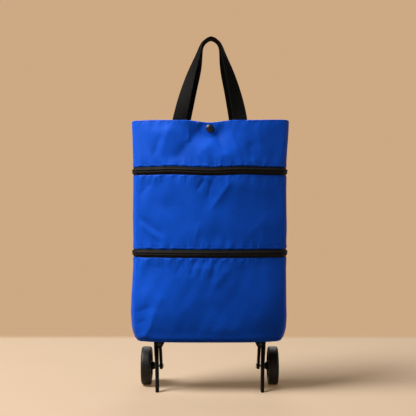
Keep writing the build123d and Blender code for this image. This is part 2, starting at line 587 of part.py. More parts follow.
def make_wheel():
    """Wheel of the right side with axle, bush, clip and domed cap."""
    inner = WHEEL_INNER_X
    outer = inner + TYRE_WIDTH
    cheek_face = CHEEK_FACE_X
    tread = WHEEL_RADIUS - TYRE_DEPTH
    bush = AXLE_RADIUS + RUN_FIT + BUSH_WALL
    flange = cheek_face + SIDE_FIT + WASHER

    tyre = turned([(inner, tread), (outer, tread), (outer, WHEEL_RADIUS), (inner, WHEEL_RADIUS)])
    rings = tyre.edges().filter_by(GeomType.CIRCLE)
    tyre = fillet(rings.filter_by(lambda edge: edge.radius > tread + 1), TYRE_SHOULDER)

    web0 = inner + 0.35 * TYRE_WIDTH
    web1 = web0 + RIM_WEB
    barrel = tread - CLOSE_FIT
    seat = outer - CAP_SEAT
    bush_end = seat - BUSH_SHORT
    rim = turned([
        (flange + SIDE_FIT, bush + CLOSE_FIT),
        (flange + SIDE_FIT, HUB_NECK_RADIUS),
        (inner - 0.5, HUB_RADIUS),
        (web0, HUB_RADIUS + 0.5),
        (web0, barrel - 3.5),
        (inner + 0.6, barrel - 2.5),
        (inner + 0.6, barrel),
        (outer - 0.6, barrel),
        (outer - 0.6, CAP_RADIUS + CLOSE_FIT),
        (web1, CAP_RADIUS + CLOSE_FIT),
        (web1, HUB_RADIUS),
        (bush_end, HUB_RADIUS),
        (bush_end, bush + CLOSE_FIT),
    ])
    for index in range(6):
        turn = Pos(0, AXLE_Y, AXLE_Z) * Rot(60 * index, 0, 0)
        middle = (HUB_RADIUS + CAP_RADIUS) / 2
        rim -= turn * rod_x((CAP_RADIUS - HUB_RADIUS) / 3.2, inner, web0 + 2.0, 0, middle)

    axle_end = seat - SIDE_FIT - WASHER
    sleeve = turned([
        (flange, AXLE_RADIUS + RUN_FIT),
        (flange, bush),
        (bush_end, bush),
        (bush_end, AXLE_RADIUS + RUN_FIT),
    ])
    collar = turned([
        (cheek_face + SIDE_FIT, AXLE_RADIUS + RUN_FIT),
        (cheek_face + SIDE_FIT, HUB_NECK_RADIUS),
        (flange, HUB_NECK_RADIUS),
        (flange, AXLE_RADIUS + RUN_FIT),
    ])
    axle = rod_x(AXLE_RADIUS, CHEEK_INNER_X - AXLE_HEAD, axle_end, AXLE_Y, AXLE_Z)
    head = rod_x(1.6 * AXLE_RADIUS, CHEEK_INNER_X - AXLE_HEAD, CHEEK_INNER_X - CLOSE_FIT, AXLE_Y, AXLE_Z)
    axle += fillet(head.edges().group_by(Axis.X)[0], AXLE_HEAD / 2)
    clip = turned([
        (bush_end + SIDE_FIT, AXLE_RADIUS + CLOSE_FIT),
        (bush_end + SIDE_FIT, 2 * AXLE_RADIUS),
        (bush_end + WASHER, 2 * AXLE_RADIUS),
        (bush_end + WASHER, AXLE_RADIUS + CLOSE_FIT),
    ])
    rim_edge = (seat, CAP_RADIUS)
    peak = (outer + CAP_DOME, 0)
    dome = ThreePointArc(peak, (seat + 0.8 * CAP_DOME, 0.6 * CAP_RADIUS), rim_edge)
    cap = revolve(make_face(Polyline(rim_edge, (seat, 0), peak) + dome), Axis.X)
    cap = Pos(0, AXLE_Y, AXLE_Z) * cap
    cap += turned([
        (web1 + SIDE_FIT, CAP_RADIUS - 2.0),
        (seat + CLOSE_FIT, CAP_RADIUS - 2.0),
        (seat + CLOSE_FIT, CAP_RADIUS),
        (web1 + SIDE_FIT, CAP_RADIUS),
    ])
    return {
        "wheel_tyre": tyre,
        "wheel_rim": rim,
        "wheel_bush": sleeve + collar,
        "wheel_axle": axle,
        "axle_clip": clip,
        "wheel_cap": cap,
    }


def make_all():
    """Every node by name, in the frame of the whole object."""
    nodes = make_sections()
    nodes |= make_zip("lower", LOWER_TOP)
    nodes |= make_zip("upper", MIDDLE_TOP)
    nodes |= make_handles()
    nodes |= make_press_stud()
    nodes |= make_base()
    side = make_bracket()
    side["wheel_arm"] = make_arm()
    side |= make_wheel()
    for name, shape in side.items():
        nodes["right_" + name] = shape
        nodes["left_" + name] = mirror(shape, Plane.YZ)
    return {name: Pos(0, BAG_Y, 0) * shape for name, shape in nodes.items()}


if __name__ == "__main__":
    os.makedirs("parts", exist_ok=True)
    for node_name, node_shape in make_all().items():
        export_step(node_shape, f"parts/{node_name}.step")
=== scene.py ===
import math
import random

import bmesh
import bpy
import numpy as np
from mathutils import Matrix, Vector


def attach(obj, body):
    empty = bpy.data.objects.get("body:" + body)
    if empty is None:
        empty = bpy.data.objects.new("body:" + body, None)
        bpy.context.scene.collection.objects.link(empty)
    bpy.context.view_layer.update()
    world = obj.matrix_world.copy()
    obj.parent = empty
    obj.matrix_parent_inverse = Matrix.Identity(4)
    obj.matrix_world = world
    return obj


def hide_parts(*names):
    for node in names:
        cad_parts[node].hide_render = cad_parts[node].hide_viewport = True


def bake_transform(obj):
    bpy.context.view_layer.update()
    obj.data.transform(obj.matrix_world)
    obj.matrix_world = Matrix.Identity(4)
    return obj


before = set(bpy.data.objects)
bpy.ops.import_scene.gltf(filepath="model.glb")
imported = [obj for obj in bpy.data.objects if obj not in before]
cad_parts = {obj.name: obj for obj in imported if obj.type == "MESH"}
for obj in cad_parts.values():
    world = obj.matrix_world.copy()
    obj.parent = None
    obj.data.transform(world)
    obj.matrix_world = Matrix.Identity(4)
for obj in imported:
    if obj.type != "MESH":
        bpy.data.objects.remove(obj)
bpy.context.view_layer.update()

# Shopping bag on wheels. Sewn cloth, zips, pleats and straps stand for the plain solids of the bag, and the
# hard pieces keep their solids and get a finish. Lengths are millimetres, or metres where a comment says so.
MM = 0.001

# Plan of the bag and its levels, as in the solids
HALF_WIDTH = 138.0
HALF_DEPTH = 54.5
FACE_RADIUS = 400.0
SEAM_INSET = 8.0
LOBE_X = 60.0
PINCH_X = 7.8
BAG_Y = -9.05
FABRIC = 1.4
PANEL_WALL = 1.6
SEWN_FIT = 0.15
# Height above the base, growth of half width and half depth, dip of the mouth
LEVELS = {
    "lower": (
        (0.0, -9.5, -12.5, 0.0), (4.8, -6.27, -10.0, 0.0), (16.0, -1.9, -7.5, 0.0), (40.0, 0.8, -3.63, 0.0),
        (70.5, 0.48, -0.88, 0.0), (150.0, 0.0, 0.0, 0.0),
    ),
    "middle": ((0.0, 0.0, 0.0, 0.0), (65.5, 0.8, 1.0, 0.0), (131.0, 0.0, 0.0, 0.0)),
    "upper": (
        (0.0, 0.0, 0.0, 0.0), (31.16, 0.8, -2.5, 2.25), (61.5, 1.9, -5.5, 7.0), (82.0, 2.5, -7.5, 5.0),
    ),
}
BASE = {"lower": 90.0, "middle": 254.0, "upper": 399.0}
BOTTOM_CUT = 3.5
RIM_Z = 481.0
STUD_Z = 467.1
ZIP_Z = {"lower": 247.0, "upper": 392.0}
FACES = ("front_panel", "back_panel", "left_gusset", "right_gusset")
# Half widths of the cut cloth, and the spacing of its mesh across and up
PANEL_HALF = 132.5
GUSSET_HALF = 35.0
CLOTH_STEP = (1.3, 1.9)
SEAM_WELD = 0.00002  # points closer than this are one, metres

# Handles
WEBBING_WIDTH = 25.0
WEBBING = 2.0
HINGE_RISE = 2.5
BEND_Z = RIM_Z + HINGE_RISE
TAB_LENGTH = 36.0
HANDLE_RISE = 148.0
REAR_EXTRA = 4.0
FRONT_SPREAD = 53.0
REAR_SPREAD = 49.0
HANDLE_GAP = 0.6
# Lines of the straps from sewn end to crown, as shares of spread and rise
FRONT_LINE = (
    (-1.0, 0.0), (-0.77, 0.39), (-0.632, 0.573), (-0.494, 0.727), (-0.388, 0.85), (-0.318, 0.923),
    (-0.184, 0.977), (0.0, 0.998),
)
REAR_LINE = (
    (-1.0, 0.0), (-0.825, 0.266), (-0.676, 0.449), (-0.54, 0.599), (-0.443, 0.744), (-0.388, 0.861),
    (-0.312, 0.932), (0.0, 0.991),
)
STRAP_LEAN = (0.177, 0.984)
STRAP_TWIST = 0.9
STRAP_SWAY = 2.4  # crown to the right of the middle
SWAY_POWER = 0.7
STRAP_HOLD = 32.0  # run that follows the curve of the wall


class Shader:
    """Small helper that adds nodes to one material, or to the world, and joins them."""

    def __init__(self, name, holders=bpy.data.materials):
        self.material = holders.new(name)
        self.material.use_nodes = True
        tree = self.material.node_tree
        self.nodes, self.links = tree.nodes, tree.links
        self.surface = self.nodes.get("Principled BSDF") or self.nodes["Background"]

    def put(self, socket, value):
        if isinstance(value, bpy.types.NodeSocket):
            self.links.new(value, socket)
        else:
            socket.default_value = value

    def fill(self, node, inputs):
        for key, value in inputs.items():
            self.put(node.inputs[key.replace("_", " ")], value)

    def add(self, kind, *values, output=0, settings=(), **inputs):
        """Output of a new node, with values for its first inputs or for inputs by name."""
        node = self.nodes.new("ShaderNode" + kind)
        for key, value in dict(settings).items():
            setattr(node, key, value)
        for socket, value in zip(node.inputs, values):
            self.put(socket, value)
        self.fill(node, inputs)
        return node.outputs[output]

    def math(self, operation, first, second=0.0, third=0.0):
        return self.add("Math", first, second, third, settings={"operation": operation})

    def times(self, first, second):
        return self.math("MULTIPLY", first, second)

    def coords(self):
        node = self.add("TexCoord").node
        return node.outputs["UV"], node.outputs["Object"]

    def split(self, vector):
        node = self.add("SeparateXYZ", vector).node
        return node.outputs[0], node.outputs[1]

    def noise(self, vector, scale, detail=3.0, roughness=0.5):
        inputs = {"Vector": vector, "Scale": scale, "Detail": detail, "Roughness": roughness}
        return self.add("TexNoise", output="Fac", **inputs)

    def ranged(self, value, low, high, to_low, to_high):
        return self.add("MapRange", value, low, high, to_low, to_high)

    def mixed(self, factor, first, second):
        node = self.nodes.new("ShaderNodeMix")
        node.data_type = "RGBA"
        self.put(node.inputs["Factor"], factor)
        self.put(node.inputs[6], first)
        self.put(node.inputs[7], second)
        return node.outputs[2]

    def bump(self, height, strength, distance, **normal):
        return self.add("Bump", Height=height, Strength=strength, Distance=distance, **normal)

    def finish(self, **inputs):
        self.fill(self.surface, inputs)
        return self.material


def rgb(red, green, blue):
    return (red, green, blue, 1.0)


def lit(colour, factor, added=0.0):
    """Colour made darker or paler."""
    return rgb(*(min(1.0, factor * part + added) for part in colour[:3]))


# Pitches of weaves and ribs, metres
CLOTH_THREAD = 0.00055
WEBBING_CORD = 0.00155
WEBBING_PICK = 0.0011
WEBBING_LEAN = 0.0031
TWILL_LINE = 0.0007
TWILL_CHEVRON = 0.0022


def woven_height(s, vector, pitch):
    """Plain weave: warp and weft threads that pass over each other in turn."""
    across, along = s.split(vector)
    turn = math.pi / pitch
    warp = s.math("SINE", s.times(across, turn))
    weft = s.math("SINE", s.times(along, turn))
    over = s.times(warp, weft)
    top = s.math("MAXIMUM", over, 0.0)
    under = s.math("MAXIMUM", s.times(over, -1.0), 0.0)
    warp_over = s.times(s.math("ABSOLUTE", warp), top)
    weft_over = s.times(s.math("ABSOLUTE", weft), under)
    return s.math("ADD", warp_over, weft_over)


def fabric_material(name, base, deep, sheen, rough):
    """Coated bag cloth: plain weave, with painted shade darkening it in the folds and along the seams, paler
    where it is rubbed.
    """
    s = Shader(name)
    uv, place = s.coords()
    threads = woven_height(s, uv, CLOTH_THREAD)
    cloudy = s.noise(place, 9.0, 4.0)
    slub = s.noise(s.add("Mapping", Vector=uv, Scale=(180.0, 2200.0, 1.0)), 1.0, 2.0)
    fold_shade = s.add("Attribute", output="Fac", settings={"attribute_name": "fold_shade"})
    worn = s.add("Attribute", output="Fac", settings={"attribute_name": "edge"})
    tone = s.ranged(cloudy, 0.3, 0.7, 0.0, 1.0)
    colour = s.mixed(tone, base, lit(base, 0.9))
    # Painted shade: the cloth is coloured darker where it folds inward and along its sewn edges
    colour = s.mixed(s.ranged(fold_shade, -2.0, 0.5, 0.45, 0.0), colour, deep)
    colour = s.mixed(s.ranged(slub, 0.35, 0.75, 0.0, 0.1), colour, deep)
    rubbed = s.times(worn, s.ranged(s.noise(place, 220.0, 4.0), 0.45, 0.75, 0.0, 0.3))
    colour = s.mixed(rubbed, colour, lit(base, 1.5, 0.02))
    colour = s.mixed(s.times(threads, 0.12), colour, deep)
    grain = s.noise(place, 420.0, 2.0)
    colour = s.mixed(s.ranged(grain, 0.3, 0.5, 0.16, 0.0), colour, deep)
    colour = s.mixed(s.ranged(grain, 0.5, 0.75, 0.0, 0.3), colour, lit(base, 1.35))
    normal = s.bump(s.noise(place, 60.0, 3.0), 0.12, 0.0012)
    normal = s.bump(threads, 0.22, 0.00018, Normal=normal)
    gloss = s.ranged(s.noise(place, 25.0, 3.0), 0.3, 0.7, rough - 0.05, rough + 0.06)
    return s.finish(
        Base_Color=colour, Roughness=gloss, Normal=normal,
        Specular_IOR_Level=0.13, Specular_Tint=rgb(0.5, 0.72, 1.0),
        Sheen_Weight=sheen, Sheen_Roughness=0.4, Sheen_Tint=rgb(0.1, 0.35, 1.0),
    )


def webbing_material(name):
    """Black ribbed webbing: cords along its length, crossed by a fine weft, with painted shade between the
    cords.
    """
    s = Shader(name)
    uv, place = s.coords()
    across, along = s.split(uv)
    cord = s.math("ABSOLUTE", s.math("SINE", s.times(across, math.pi / WEBBING_CORD)))
    picks = s.times(along, math.pi / WEBBING_PICK)
    slant = s.math("ADD", picks, s.times(across, math.pi / WEBBING_LEAN))
    pick = s.math("ABSOLUTE", s.math("SINE", slant))
    height = s.times(s.math("POWER", cord, 0.6), s.ranged(pick, 0.0, 1.0, 0.55, 1.0))
    fuzz = s.noise(place, 700.0, 3.0)
    # Painted shade: darker in the grooves between cords, paler on their tops, with random fuzz in the tone
    tone = s.times(height, s.ranged(fuzz, 0.3, 0.7, 0.6, 1.0))
    colour = s.mixed(tone, rgb(0.0007, 0.0007, 0.0007), rgb(0.003, 0.0029, 0.0028))
    normal = s.bump(height, 0.55, 0.00035)
    rough = s.ranged(fuzz, 0.3, 0.7, 0.6, 0.78)
    return s.finish(Base_Color=colour, Roughness=rough, Normal=normal, Specular_IOR_Level=0.06)


def tape_material(name):
    """Black zip tape: herringbone twill with a soft dull face, and painted shade in its twill grooves."""
    s = Shader(name)
    uv, place = s.coords()
    across, along = s.split(uv)
    chevron = s.math("PINGPONG", along, TWILL_CHEVRON)
    turn = math.pi / TWILL_LINE
    slant = s.math("ADD", s.times(across, turn), s.times(chevron, turn))
    twill = s.math("ABSOLUTE", s.math("SINE", slant))
    dust = s.noise(place, 90.0, 4.0)
    # Painted shade: the tape is coloured darker in the grooves of its twill
    colour = s.mixed(twill, rgb(0.0016, 0.0013, 0.0012), rgb(0.0048, 0.0042, 0.0036))
    colour = s.mixed(s.ranged(dust, 0.45, 0.8, 0.0, 0.2), colour, rgb(0.0068, 0.0056, 0.005))
    normal = s.bump(twill, 0.4, 0.00018)
    rough = s.ranged(dust, 0.3, 0.7, 0.52, 0.7)
    return s.finish(Base_Color=colour, Roughness=rough, Normal=normal, Specular_IOR_Level=0.13)


def hard_material(
    name, base, worn, rough, metal=0.0, grain=900.0, depth=0.00004, strength=0.25, specular=0.5
):
    """Moulded or coated hard surface: fine grain, faint marks, paler where it is handled."""
    s = Shader(name)
    base, worn = rgb(*base), rgb(*worn)
    _, place = s.coords()
    fine = s.noise(place, grain, 3.0, 0.6)
    broad = s.noise(place, 40.0, 4.0)
    marks = s.noise(s.add("Mapping", Vector=place, Scale=(90.0, 90.0, 900.0)), 1.0, 4.0, 0.65)
    colour = s.mixed(s.ranged(broad, 0.3, 0.7, 0.0, 0.35), base, worn)
    colour = s.mixed(s.ranged(marks, 0.62, 0.75, 0.0, 0.5), colour, worn)
    dull = s.ranged(broad, 0.3, 0.7, rough - 0.06, rough + 0.06)
    gloss = s.math("ADD", dull, s.ranged(fine, 0.3, 0.7, -0.04, 0.04))
    normal = s.bump(fine, strength, depth)
    return s.finish(
        Base_Color=colour, Roughness=gloss, Metallic=metal, Normal=normal, Specular_IOR_Level=specular
    )


# Far edge of the floor and the strip over which it fades, metres
FLOOR_BACK = 0.62
FLOOR_FADE = 0.05
BACKDROP = rgb(0.615, 0.4, 0.23)


def seen_ray(s, reflected=1.0):
    """1 for rays that come from the camera, straight, through glass or off a shiny surface."""
    ray = s.nodes.new("ShaderNodeLightPath").outputs
    glossy = s.times(ray["Is Glossy Ray"], reflected)
    return s.math("MAXIMUM", ray["Is Camera Ray"], s.math("MAXIMUM", glossy, ray["Is Transmission Ray"]))


def blended(s, output, factor, first, second):
    """Send a blend of two shaders to the output."""
    s.put(s.nodes[output].inputs["Surface"], s.add("MixShader", factor, first, second))
    return s.material


def floor_material(name, base, deep, glow, bounce):
    """Matt floor that fades into the backdrop and throws little light on the object."""
    s = Shader(name)
    _, place = s.coords()
    mottle = s.ranged(s.noise(place, 1.6, 5.0), 0.3, 0.7, 0.0, 1.0)
    seen = seen_ray(s)
    shown = s.mixed(seen, bounce, s.mixed(mottle, base, deep))
    normal = s.bump(s.noise(place, 260.0, 4.0), 0.05, 0.001)
    s.finish(Base_Color=shown, Roughness=0.9, Specular_IOR_Level=0.1, Normal=normal)
    _, away = s.split(place)
    far = s.ranged(away, FLOOR_BACK - FLOOR_FADE, FLOOR_BACK, 0.0, 1.0)
    light = s.add("Emission", Color=s.mixed(far, glow, BACKDROP), Strength=1.0)
    share = s.times(seen, s.ranged(far, 0.0, 1.0, 0.2, 0.9))
    return blended(s, "Material Output", share, s.surface.outputs[0], light)


def backdrop_world(name, air, strength):
    """Dim air that shows, and is mirrored, as a plain backdrop."""
    s = Shader(name, bpy.data.worlds)
    s.finish(Color=air, Strength=strength)
    _, away = s.split(s.add("TexCoord", output="Generated"))
    behind = s.ranged(away, 0.0, 0.5, 0.0, 0.12)
    plain = s.add("Background", Color=BACKDROP, Strength=1.0)
    return blended(s, "World Output", seen_ray(s, behind), s.surface.outputs[0], plain)


cloth = fabric_material("bag_cloth", rgb(0.0035, 0.073, 0.555), rgb(0.0004, 0.032, 0.26), 0.01, 0.5)
lining = fabric_material("coated_lining", rgb(0.006, 0.05, 0.3), rgb(0.002, 0.02, 0.14), 0.03, 0.42)
thread = hard_material(
    "sewing_thread", (0.001, 0.03, 0.24), (0.002, 0.042, 0.3), 0.7, grain=3000.0, specular=0.05
)
webbing = webbing_material("webbing")
zip_tape = tape_material("zip_tape")
zip_teeth = hard_material("zip_coil", (0.003, 0.003, 0.003), (0.008, 0.008, 0.008), 0.42, specular=0.22)
black_metal = hard_material("blackened_metal", (0.004, 0.0038, 0.0036), (0.014, 0.0135, 0.013), 0.42, 0.2)
board = hard_material(
    "base_board", (0.02, 0.02, 0.021), (0.045, 0.044, 0.043), 0.75, grain=350.0, depth=0.0002
)
plastic = hard_material(
    "black_plastic", (0.0025, 0.0022, 0.002), (0.006, 0.0055, 0.005), 0.48, grain=1400.0, specular=0.08
)
steel = hard_material("bright_steel", (0.42, 0.41, 0.40), (0.6, 0.59, 0.57), 0.3, 1.0)
nylon = hard_material("pale_nylon", (0.5, 0.49, 0.46), (0.62, 0.61, 0.58), 0.5)
rubber = hard_material(
    "tyre_rubber", (0.003, 0.0028, 0.0026), (0.008, 0.0075, 0.007), 0.52,
    grain=1800.0, depth=0.00008, strength=0.4, specular=0.3,
)


def spline_through(knots, start, end, count):
    """Points of a smooth line through the knots that leaves and arrives in set directions."""
    knots = np.array(knots, float)
    steps = np.linalg.norm(np.diff(knots, axis=0), axis=1)
    times = run_along(knots)
    total = len(knots)
    rows = np.eye(total)
    right = np.zeros_like(knots)
    right[0] = start
    right[-1] = end
    for i in range(1, total - 1):
        before, after = steps[i - 1], steps[i]
        rows[i, i - 1:i + 2] = (after, 2 * (before + after), before)
        lower = after * (knots[i] - knots[i - 1]) / before
        upper = before * (knots[i + 1] - knots[i]) / after
        right[i] = 3 * (lower + upper)
    slopes = np.linalg.solve(rows, right)
    at = np.linspace(0.0, times[-1], count)
    return hermite(times, knots, slopes, at)


def hermite(times, values, slopes, at):
    """Cubic between known values and slopes."""
    low = np.clip(np.searchsorted(times, at, side="right") - 1, 0, len(times) - 2)
    span = (times[low + 1] - times[low])[:, None]
    t = (at - times[low])[:, None] / span
    first = (1 + 2 * t) * (1 - t) ** 2 * values[low] + t * (1 - t) ** 2 * span * slopes[low]
    second = t * t * (3 - 2 * t) * values[low + 1] + t * t * (t - 1) * span * slopes[low + 1]
    return first + second


def eased(heights, values, at):
    """Values at any height, smooth through the levels."""
    heights = np.array(heights, float)
    values = np.array(values, float)
    return hermite(heights, values, np.gradient(values, heights, axis=0), at)


def soft_step(value, low, high):
    """0 below a range and 1 above it, smooth between."""
    t = np.clip((value - low) / (high - low), 0.0, 1.0)
    return t * t * (3 - 2 * t)


def hump(value, middle, width):
    """Smooth hump of height 1."""
    return np.exp(-((value - middle) / width) ** 2)


def run_along(points):
    """Distance along a line from its first point to each of its points."""
    steps = np.linalg.norm(np.diff(points, axis=0), axis=1)
    return np.concatenate([[0.0], np.cumsum(steps)])


def points_at(distance, run, points):
    """Points of a line at distances along it."""
    return np.stack([np.interp(distance, run, column) for column in points.T], -1)


def unit(vectors):
    """Vectors at length 1."""
    return vectors / np.linalg.norm(vectors, axis=-1, keepdims=True)


def arc_y(x, half_depth):
    """Front or back curve of the plan, as a distance from the middle plane."""
    return np.sqrt(FACE_RADIUS ** 2 - x ** 2) - (FACE_RADIUS - half_depth)


def face_line(level, shares):
    """Plan of a front or back panel at one level."""
    _, wider, deeper, dip = level
    corner = HALF_WIDTH + wider - SEAM_INSET
    half_depth = HALF_DEPTH + deeper
    x = shares * corner
    if not dip:
        return x, arc_y(x, half_depth)
    knots = []
    for place in (-corner, -LOBE_X, -PINCH_X, PINCH_X, LOBE_X, corner):
        depth = half_depth - dip if abs(place) == PINCH_X else float(arc_y(place, half_depth))
        knots.append((place, depth))
    slope = corner / math.sqrt(FACE_RADIUS ** 2 - corner ** 2)
    along = np.array((1.0, slope)) / math.hypot(1.0, slope)
    line = spline_through(knots, along, along * (1, -1), 600)
    return x, np.interp(x, line[:, 0], line[:, 1])


def side_line(level, shares):
    """Plan of a gusset at one level, from the front seam to the back seam."""
    _, wider, deeper, _ = level
    side = HALF_WIDTH + wider
    half = float(arc_y(side - SEAM_INSET, HALF_DEPTH + deeper))
    radius = (half ** 2 + SEAM_INSET ** 2) / (2 * SEAM_INSET)
    turn = shares * math.asin(half / radius)
    return side - radius + radius * np.cos(turn), radius * np.sin(turn)


# How the standing cloth departs from the solids. A hump has an amount, a middle and a width, a band two ends.
RIM_BAND = (40.0, 82.0)  # heights over which the rim comes to sag
RIM_PULL = ((0.9, 54.0, 26.0),)  # drawn up by the straps
RIM_HANG = ((3.5, 0.0, 24.0),)  # hanging in the middle
BOX_BAND = (20.0, 135.0)  # heights over which the boxy foot fades
BOX_INSET = 2.5  # flat face of that foot inside the plan
ZIP_WAVES = ((-1.3, 0.0, 30.0), (1.1, -73.0, 30.0), (0.8, 61.0, 28.0))
ZIP_WAVE_FRONT = (5.0, 30.0)  # in front of the middle plane
ZIP_WAVE_REACH = 26.0  # above and below the zip
SIDE_BAND = (60.0, 130.0)  # from the middle to the sides
LEFT_FULL = 2.6  # left side fuller below this band
LEFT_BAND = (165.0, 235.0)
LEFT_HUMPS = ((1.1, 152.0, 25.0), (0.9, 428.0, 22.0))
RIGHT_WIDE = 2.2  # right side wider towards the rim
RIGHT_BAND = (395.0, 470.0)
CORNER_RISE = (1.4, 3.0)  # corners of the rim, left and right
CORNER_BAND = (85.0, 132.0)
RIM_HUMP = ((1.5, 94.0, 22.0),)  # rim beside the straps
RISE_BAND = (425.0, 478.0)


def wall(section, face, heights, shares):
    """Points of a panel before it is creased: rows by height, columns by share of its width."""
    levels = LEVELS[section]
    line = side_line if "gusset" in face else face_line
    plans = [line(level, shares) for level in levels]
    at = [level[0] for level in levels]
    x = eased(at, [plan[0] for plan in plans], heights)
    y = eased(at, [plan[1] for plan in plans], heights)
    z = np.repeat((BASE[section] + heights)[:, None], len(shares), axis=1)
    if "panel" in face and section == "lower":
        y = boxier(y, heights, shares)
    if "panel" in face and section == "upper":
        z += soft_step(heights, *RIM_BAND)[:, None] * rim_sag(x)
    if face == "front_panel":
        y = -y
    if face == "left_gusset":
        x = -x
    return np.stack([x, y, z], axis=2)


def boxier(y, heights, shares):
    """Lower panels grow flatter across the middle towards the board in the bottom."""
    levels = np.array(LEVELS["lower"])
    grown = eased(levels[:, 0], levels[:, 1:3], heights)
    middle = (HALF_DEPTH + grown[:, 1])[:, None]
    corner = (HALF_WIDTH + grown[:, 0] - SEAM_INSET)[:, None]
    end = arc_y(corner, middle)
    inner = middle - BOX_INSET
    flat = inner - (inner - end) * np.abs(shares) ** 4
    return y + (1 - soft_step(heights, *BOX_BAND))[:, None] * (flat - y)


def humps(value, table, start=0.0):
    """Sum of humps, each with its amount, middle and width."""
    return sum((amount * hump(value, middle, width) for amount, middle, width in table), start)


def rim_sag(x):
    """Rim hangs a little in the middle and is drawn up by the straps."""
    return humps(np.abs(x), RIM_PULL) - humps(x, RIM_HANG)


def zip_wave(x, y, z):
    """Rise of the cloth along the upper zip, which waves across the front."""
    front = soft_step(-y, *ZIP_WAVE_FRONT)
    return humps(x, ZIP_WAVES) * front * hump(z, ZIP_Z["upper"], ZIP_WAVE_REACH)


def settled(points):
    """Cloth as it stands: waved at the upper zip, fuller on the left, wider and higher at the rim's ends."""
    x, y, z = (points[..., k] for k in range(3))
    left = soft_step(-x, *SIDE_BAND)
    right = soft_step(x, *SIDE_BAND)
    fuller = humps(z, LEFT_HUMPS, LEFT_FULL * (1 - soft_step(z, *LEFT_BAND)))
    wider = RIGHT_WIDE * soft_step(z, *RIGHT_BAND)
    ends = soft_step(np.abs(x), *CORNER_BAND) * np.where(x < 0, *CORNER_RISE)
    ends += humps(np.abs(x), RIM_HUMP)
    ends *= soft_step(z, *RISE_BAND)
    return np.stack([x - left * fuller + right * wider, y, z + zip_wave(x, y, z) + ends], axis=-1)


def outward_of(points):
    """Unit directions out of the bag at every point of a panel."""
    across = np.gradient(points, axis=1)
    up = np.gradient(points, axis=0)
    normal = np.cross(across, up)
    normal /= np.maximum(np.linalg.norm(normal, axis=2, keepdims=True), 1e-9)
    away = points.copy()
    away[..., 2] = 0.0
    if np.sum(normal * away) < 0:
        normal = -normal
    return normal


# Distances from a sewn edge at which the mesh of a panel is finer
NEAR_EDGE = np.array((0.0, 0.35, 0.8, 1.4, 2.1, 3.0, 4.0, 5.0, 6.2, 7.6))


def stations(low, high, step):
    """Distances across a panel, closer together along its two sewn edges."""
    reach = NEAR_EDGE[-1]
    count = max(2, round((high - low - 2 * reach) / step) + 1)
    inner = np.linspace(low + reach, high - reach, count)
    return np.concatenate([low + NEAR_EDGE[:-1], inner, (high - NEAR_EDGE[:-1])[::-1]])


def gathers(rng, half, pitch, height, width, length):
    """Random folds that start at a sewn edge: place, height, width, length and lean, each from a range."""
    folds = []
    place = -half + rng.uniform(3, 9)
    while place < half - 4:
        lean = rng.uniform(-0.45, 0.3)
        folds.append((place, rng.uniform(*height), rng.uniform(*width), rng.uniform(*length), lean))
        place += rng.uniform(*pitch)
    return folds


def gathered(across, away, folds):
    """Height of the gathers at a distance from the edge they start at."""
    total = np.zeros_like(across)
    for place, height, width, length, lean in folds:
        offset = (across - place - lean * away) / (width * (1 + away / 40))
        total += height * np.exp(-offset ** 2) * np.exp(-(away / length) ** 1.6)
    return total * soft_step(away, 0.0, 3.5)


def puckered(rng, across, away, half, strength):
    """Full folds and fine puckers drawn up by the stitches of a zip or hem."""
    full = gathers(rng, half, (12, 24), (0.5 * strength, 1.3 * strength), (4.2, 7.0), (13, 32))
    fine = gathers(rng, half, (4.6, 8.0), (0.3 * strength, 0.75 * strength), (1.5, 2.3), (6, 12))
    return gathered(across, away, full) + gathered(across, away, fine) - 0.35 * hump(away, 0.0, 18.0)


def slack(across, up, seed, size, amount):
    """Broad soft waves of loose cloth."""
    rng = random.Random(seed)
    total = np.zeros_like(across)
    for _ in range(9):
        angle = rng.uniform(0, math.pi)
        length = size * rng.uniform(0.7, 1.6)
        phase = rng.uniform(0, 2 * math.pi)
        total += np.sin((across * math.cos(angle) + up * math.sin(angle)) * 2 * math.pi / length + phase)
    return amount * total / 3


def creased(across, up, creases):
    """Height of single folds, each from one point to another, with a width and a height."""
    total = np.zeros_like(across)
    for x0, z0, x1, z1, width, height in creases:
        length = math.hypot(x1 - x0, z1 - z0)
        ux, uz = (x1 - x0) / length, (z1 - z0) / length
        along = ((across - x0) * ux + (up - z0) * uz) / length
        beside = np.abs((up - z0) * ux - (across - x0) * uz)
        fade = soft_step(along, -0.25, 0.25) * (1 - soft_step(along, 0.75, 1.25))
        total += height * fade * np.exp(-np.sqrt((beside / width) ** 2 + 0.12) * 1.6)
    return total


def turned_in(away, radius):
    """Cloth rolling in over its sewn edge."""
    inside = np.clip(radius - away, 0.0, radius)
    return np.sqrt(radius ** 2 - inside ** 2) - radius


def stitched(away, line):
    """Dent along a row of stitches, with the hem a little full beside it."""
    dent = -0.2 * hump(away, line, 1.0)
    full = 0.04 * soft_step(away, 0.4, 1.6) * (1 - soft_step(away, line - 0.8, line + 0.6))
    return dent + full


